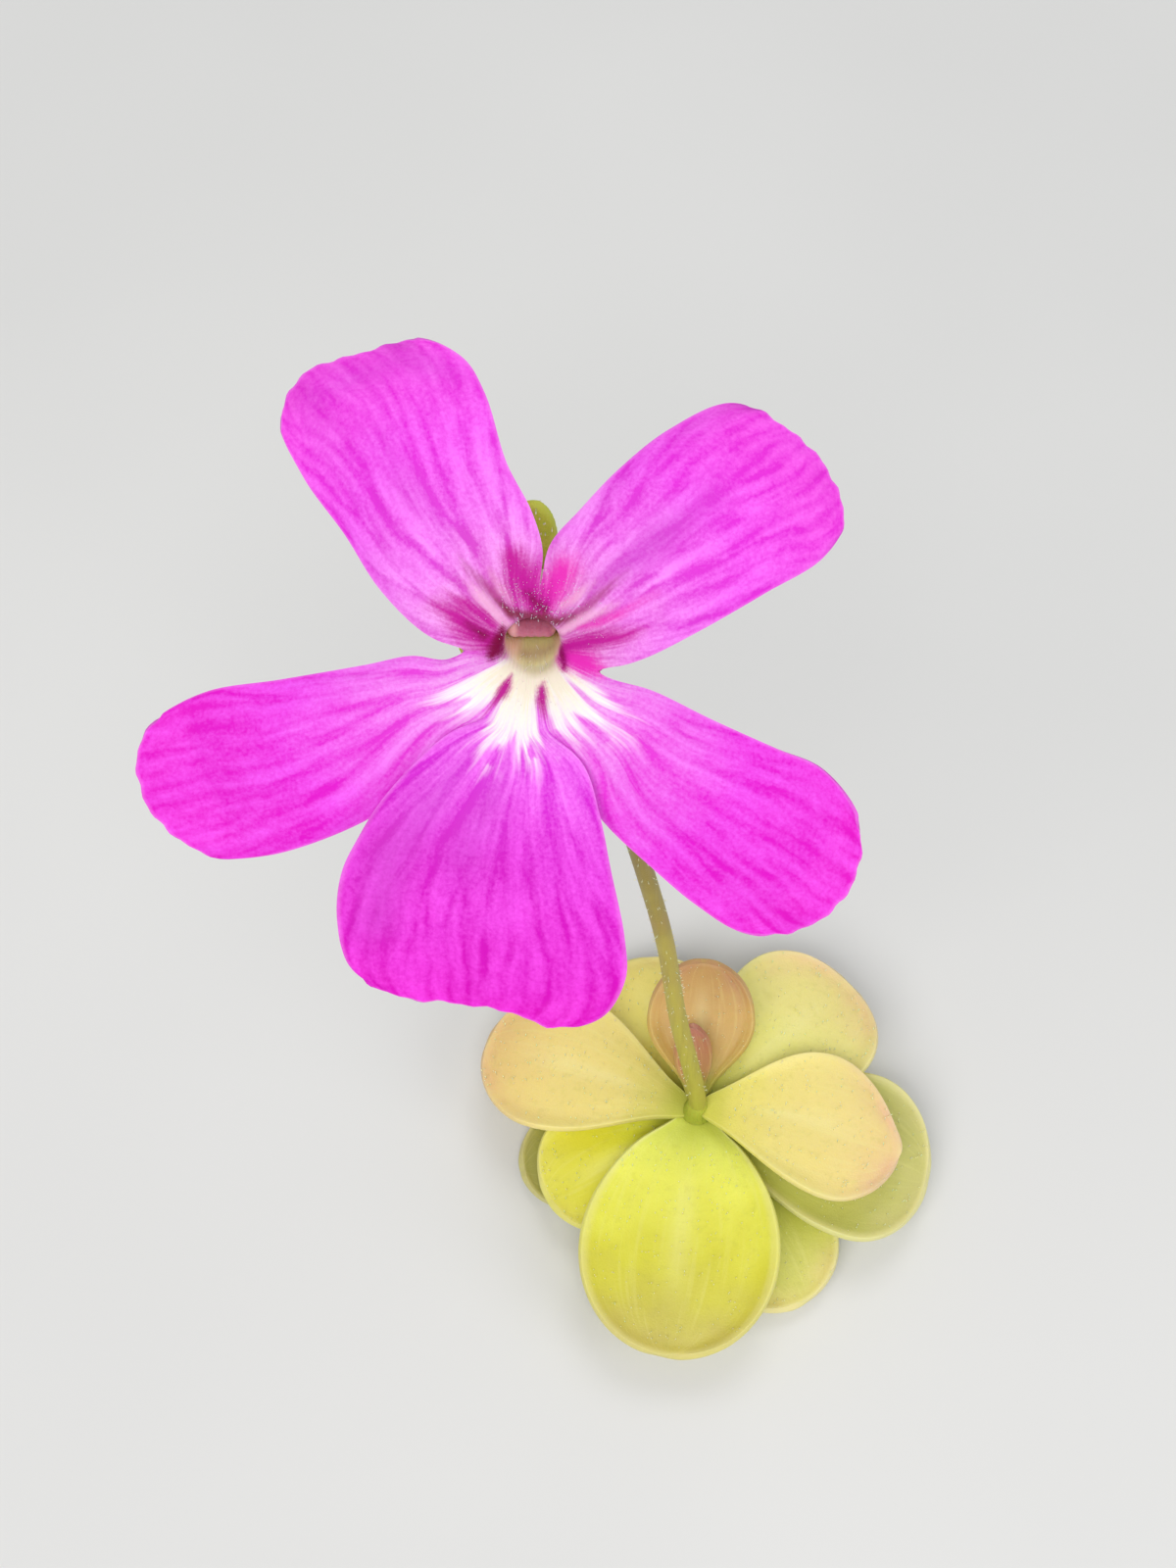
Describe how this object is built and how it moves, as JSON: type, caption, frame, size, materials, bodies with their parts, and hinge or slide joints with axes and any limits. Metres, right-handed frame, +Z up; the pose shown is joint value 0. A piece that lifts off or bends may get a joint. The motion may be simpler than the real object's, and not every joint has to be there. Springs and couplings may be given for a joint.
{
  "type": "butterwort plant",
  "caption": "Whole butterwort: a low rosette of fleshy leaves on a short rooted crown, with one upright stalk and a spurred, five-lobed flower.",
  "frame": {"origin": "middle of the crown's flat underside, on the surface that the plant rests on", "axes": "+Z up along the plant, +X to the right and -Y towards the side that the flower faces"},
  "size_m": [0.0371, 0.0308, 0.0788],
  "materials": {
    "leaf_green": "satin, fleshy, with fine sticky glands",
    "leaf_blush": "satin, fleshy, peach towards the tip",
    "leaf_young": "satin, fleshy, brownish pink",
    "stalk_green": "satin with fine glands",
    "crown_brown": "matte, pale roots",
    "sepal_green": "matte, glandular",
    "petal_magenta": "soft, veined, white at the throat",
    "stigma_pink": "matte",
    "stamen_cream": "matte"
  },
  "bodies": {
    "root": {"crown": "crown_brown", "leaf_01": "leaf_green", "leaf_02": "leaf_green", "leaf_03": "leaf_green", "leaf_04": "leaf_green", "leaf_05": "leaf_green", "leaf_06": "leaf_green", "leaf_07": "leaf_green", "leaf_08": "leaf_green", "leaf_09": "leaf_green", "leaf_10": "leaf_blush", "leaf_11": "leaf_green", "leaf_12": "leaf_blush", "leaf_13": "leaf_blush", "leaf_14": "leaf_young", "leaf_15": "leaf_young", "scape": "stalk_green", "calyx": "sepal_green", "corolla": "petal_magenta", "pistil": "stigma_pink", "stamen_left": "stamen_cream", "stamen_right": "stamen_cream"}
  },
  "joints": []
}
